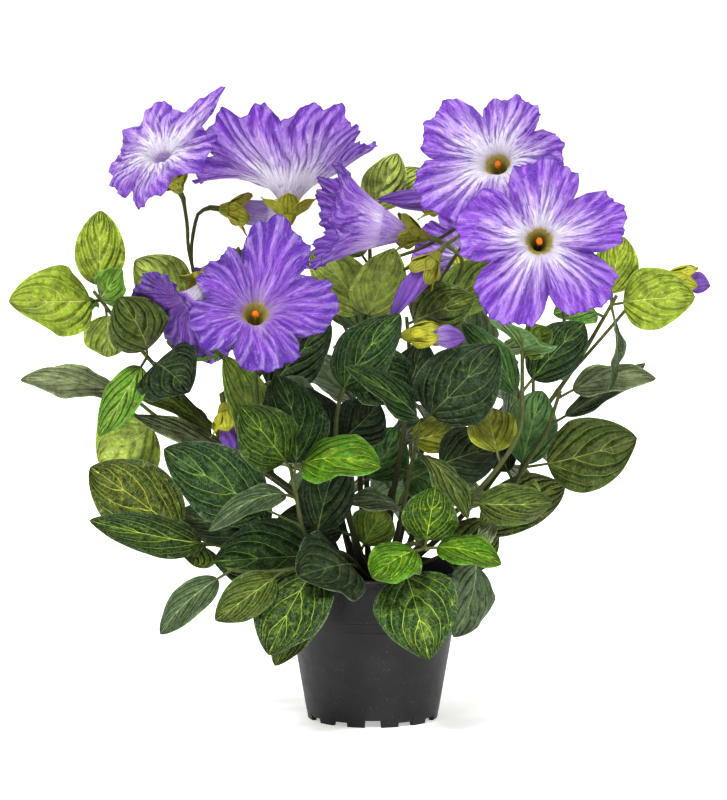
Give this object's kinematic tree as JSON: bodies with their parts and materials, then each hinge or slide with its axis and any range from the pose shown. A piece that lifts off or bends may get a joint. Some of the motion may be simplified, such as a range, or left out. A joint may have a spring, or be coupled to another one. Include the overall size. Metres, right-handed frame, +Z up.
{
  "type": "potted petunia",
  "caption": "Bushy artificial petunia with large violet trumpet flowers on wiry leafy sprays, standing in a round tapered nursery pot.",
  "frame": {"origin": "on the floor under the centre of the pot's base, which is the bottom centre of the whole plant's box", "axes": "+Z up, -Y towards the viewer of the plant's front, +X to the front's right; -Z is the way the pot's foot faces"},
  "size_m": [0.4558, 0.2927, 0.4119],
  "materials": {
    "pot": "matte moulded charcoal plastic",
    "soil": "dark crumbly filler plug",
    "leaf_dark": "printed cloth leaf, dark green with paler veins, on a coated wire stem",
    "leaf_green": "printed cloth leaf, mid green with yellow veins, on a coated wire stem",
    "leaf_light": "printed cloth leaf, yellow-green with darker edges, on a coated wire stem",
    "petal": "crinkled printed cloth, violet edge and pale throat",
    "calyx": "yellow-green cloth sepals on a thin dark wire stem",
    "pistil": "matte orange tip on a pale stalk"
  },
  "bodies": {
    "root": {"bloom_10_calyx": "calyx", "bloom_10_petals": "petal", "bloom_10_pistil": "pistil", "bloom_1_calyx": "calyx", "bloom_1_petals": "petal", "bloom_2_calyx": "calyx", "bloom_2_petals": "petal", "bloom_2_pistil": "pistil", "bloom_3_calyx": "calyx", "bloom_3_petals": "petal", "bloom_4_calyx": "calyx", "bloom_4_petals": "petal", "bloom_4_pistil": "pistil", "bloom_5_calyx": "calyx", "bloom_5_petals": "petal", "bloom_6_calyx": "calyx", "bloom_6_petals": "petal", "bloom_6_pistil": "pistil", "bloom_7_calyx": "calyx", "bloom_7_petals": "petal", "bloom_7_pistil": "pistil", "bloom_8_calyx": "calyx", "bloom_8_petals": "petal", "bloom_8_pistil": "pistil", "bloom_9_calyx": "calyx", "bloom_9_petals": "petal", "bloom_9_pistil": "pistil", "bud_1_calyx": "calyx", "bud_1_petals": "petal", "bud_2_calyx": "calyx", "bud_2_petals": "petal", "bud_3_calyx": "calyx", "bud_3_petals": "petal", "bud_4_calyx": "calyx", "bud_4_petals": "petal", "bud_5_calyx": "calyx", "bud_5_petals": "petal", "pot": "pot", "soil": "soil", "spray_back_1": "leaf_green", "spray_back_2": "leaf_dark", "spray_back_3": "leaf_green", "spray_back_4": "leaf_dark", "spray_back_5": "leaf_dark", "spray_back_6": "leaf_green", "spray_centre": "leaf_dark", "spray_centre_right": "leaf_light", "spray_centre_top": "leaf_light", "spray_front_left": "leaf_dark", "spray_front_low": "leaf_dark", "spray_front_right": "leaf_light", "spray_left_back": "leaf_green", "spray_left_low": "leaf_dark", "spray_left_middle": "leaf_green", "spray_left_top": "leaf_light", "spray_right_centre": "leaf_light", "spray_right_low": "leaf_green", "spray_right_middle": "leaf_dark", "spray_right_top": "leaf_green"}
  },
  "joints": []
}
